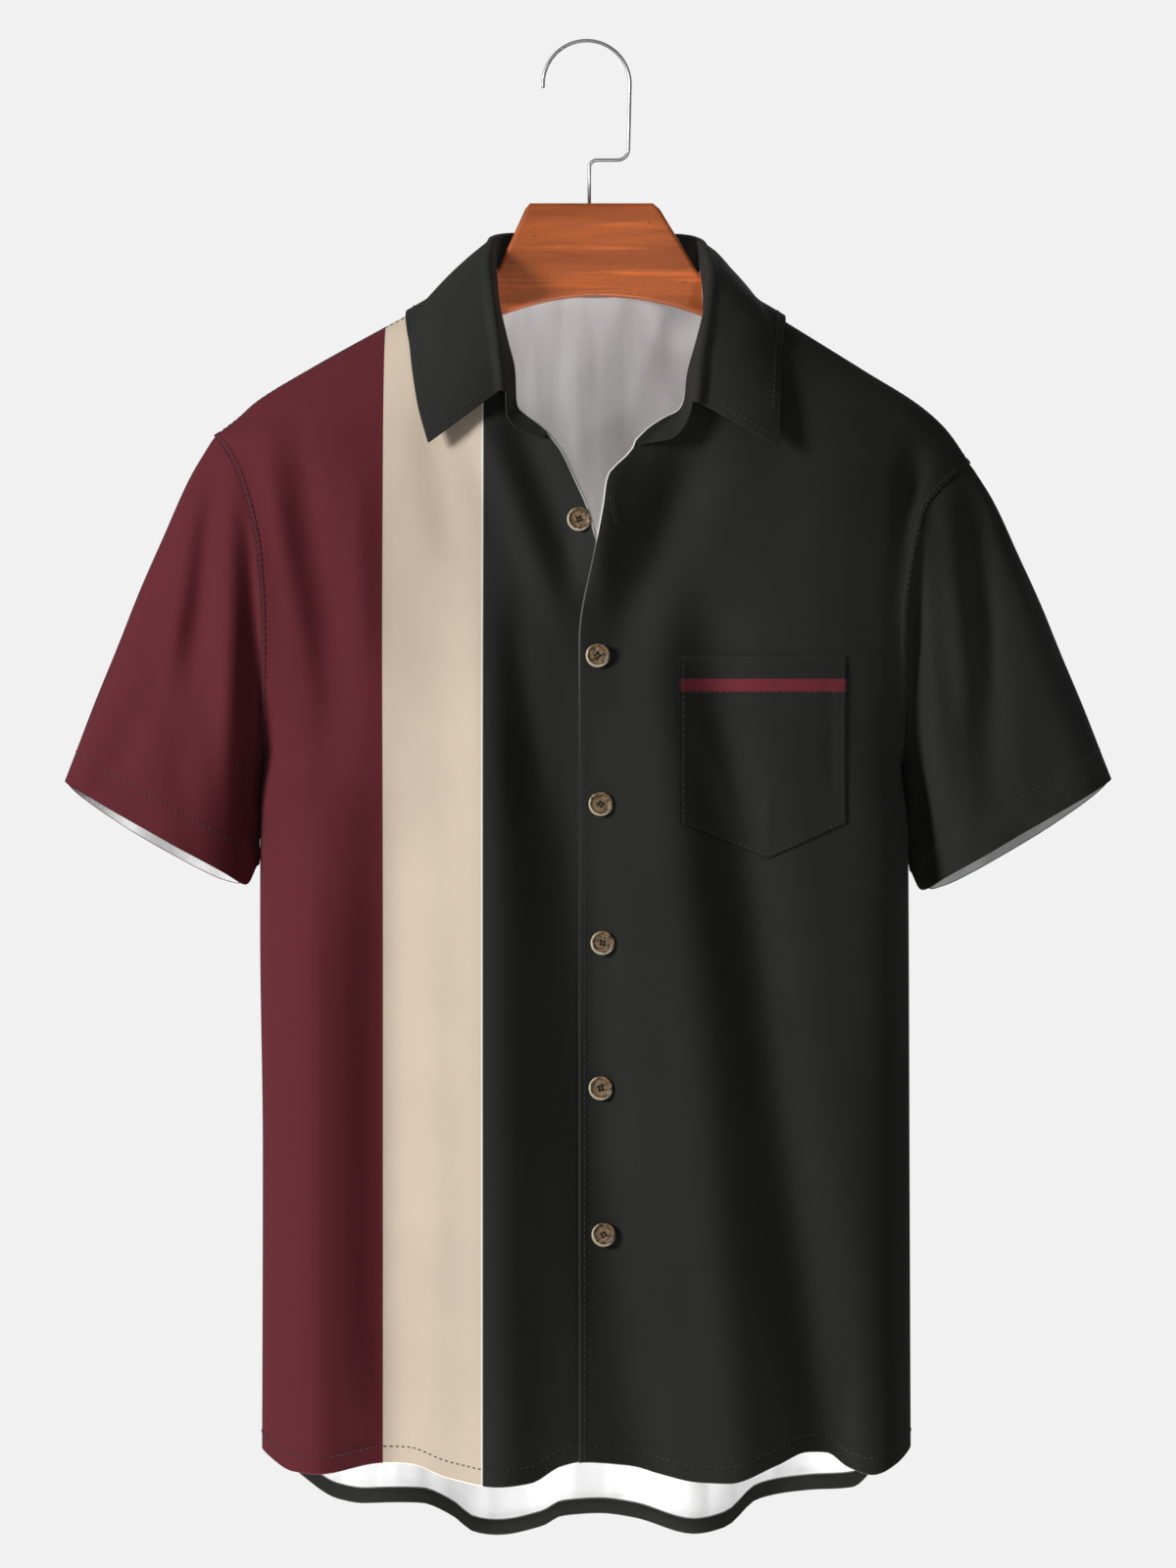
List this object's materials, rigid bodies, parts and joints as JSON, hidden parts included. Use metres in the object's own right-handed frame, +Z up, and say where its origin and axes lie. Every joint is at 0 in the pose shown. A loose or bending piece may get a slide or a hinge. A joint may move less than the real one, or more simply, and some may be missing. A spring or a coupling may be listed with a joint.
{
  "type": "bowling shirt on a hanger",
  "caption": "Short-sleeve button-front bowling shirt with an open collar and chest pocket, hung on a wooden hanger with a wire hook.",
  "frame": {"origin": "the inside top of the hook, where a rail carries it", "axes": "+X to the right as the front is seen, +Y from the front to the back, +Z up"},
  "size_m": [0.661, 0.1404, 0.9535],
  "materials": {
    "printed_cloth": "matte rayon with maroon, cream and black vertical bands",
    "maroon_cloth": "matte rayon",
    "black_cloth": "matte rayon",
    "button": "mottled brown with a soft shine",
    "wood": "orange brown stain under satin varnish",
    "steel": "bright wire"
  },
  "bodies": {
    "root": {"front_right": "printed_cloth", "front_left": "black_cloth", "back": "black_cloth", "sleeve_right": "maroon_cloth", "sleeve_left": "black_cloth", "collar_stand": "black_cloth", "collar_leaf": "black_cloth", "pocket": "black_cloth", "button_1": "button", "button_2": "button", "button_3": "button", "button_4": "button", "button_5": "button", "button_6": "button", "hanger_wood": "wood", "hook_wire": "steel"}
  },
  "joints": []
}
